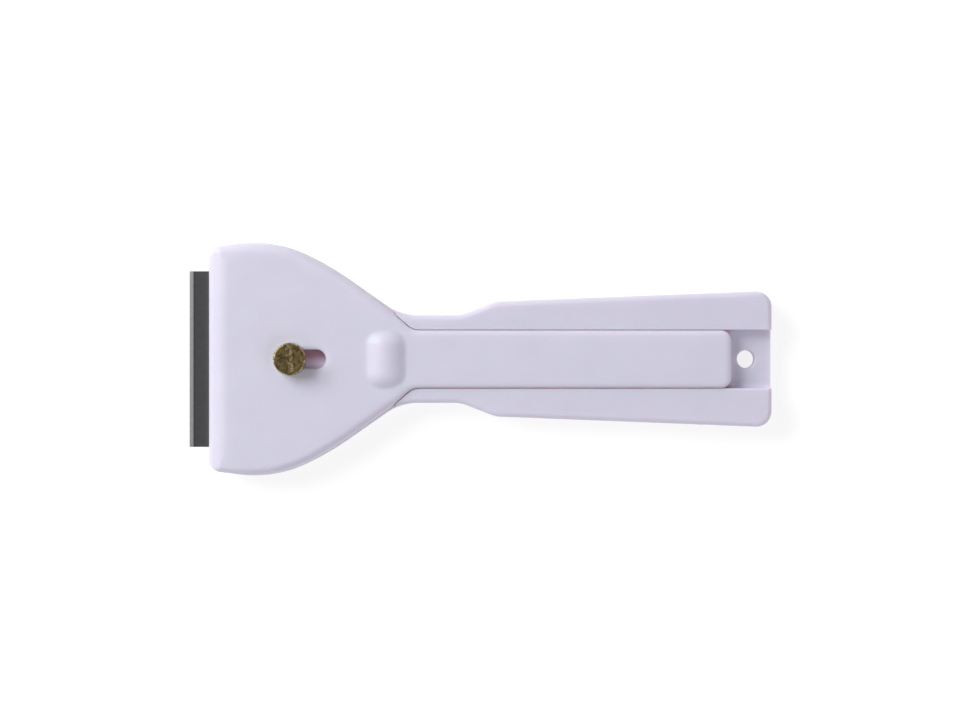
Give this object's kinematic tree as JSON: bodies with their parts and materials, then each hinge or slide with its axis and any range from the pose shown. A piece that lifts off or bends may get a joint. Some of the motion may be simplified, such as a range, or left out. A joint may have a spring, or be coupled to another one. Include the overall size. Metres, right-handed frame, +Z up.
{
  "type": "algae scraper",
  "caption": "Flat aquarium glass scraper: a single-edged razor blade on a broad head, under a sliding guard whose tongue runs in the handle, clamped by a slotted thumb screw.",
  "frame": {"origin": "on the underside, half way between the blade's edge and the handle's end, on the centre line", "axes": "+X from the blade along the handle to its end, +Y across, +Z up through the cover and the screw"},
  "size_m": [0.129, 0.052, 0.0133],
  "materials": {
    "handle_plastic": "white moulded plastic with a faint violet cast, satin gloss",
    "cover_plastic": "white moulded plastic with a faint violet cast, satin gloss",
    "blade_steel": "dark blued carbon steel with a bright ground edge",
    "screw_brass": "dull turned brass, darkened in the knurl",
    "nut_brass": "dull machined brass"
  },
  "bodies": {
    "handle": {"base_handle": "handle_plastic", "razor_blade": "blade_steel"},
    "cover": {"sliding_cover": "cover_plastic"},
    "screw": {"clamp_screw": "screw_brass"},
    "nut": {"hex_nut": "nut_brass"}
  },
  "joints": [
    {"name": "cover_slide", "type": "slide", "parent": "handle", "child": "cover", "axis": [-1, 0, 0], "range_m": [0, 0.0057]},
    {"name": "nut_travel", "type": "slide", "parent": "handle", "child": "nut", "axis": [0, 0, -1], "range_m": [0, 0.0007]},
    {"name": "screw_turn", "type": "hinge", "parent": "handle", "child": "screw", "pos_m": [-0.0418, 0, 0.01], "axis": [0, 0, 1], "range_deg": [0, 360]}
  ],
  "couplings": [
    {"joint": "screw_turn", "follows": "nut_travel", "rad_per_m": 8975.9}
  ]
}
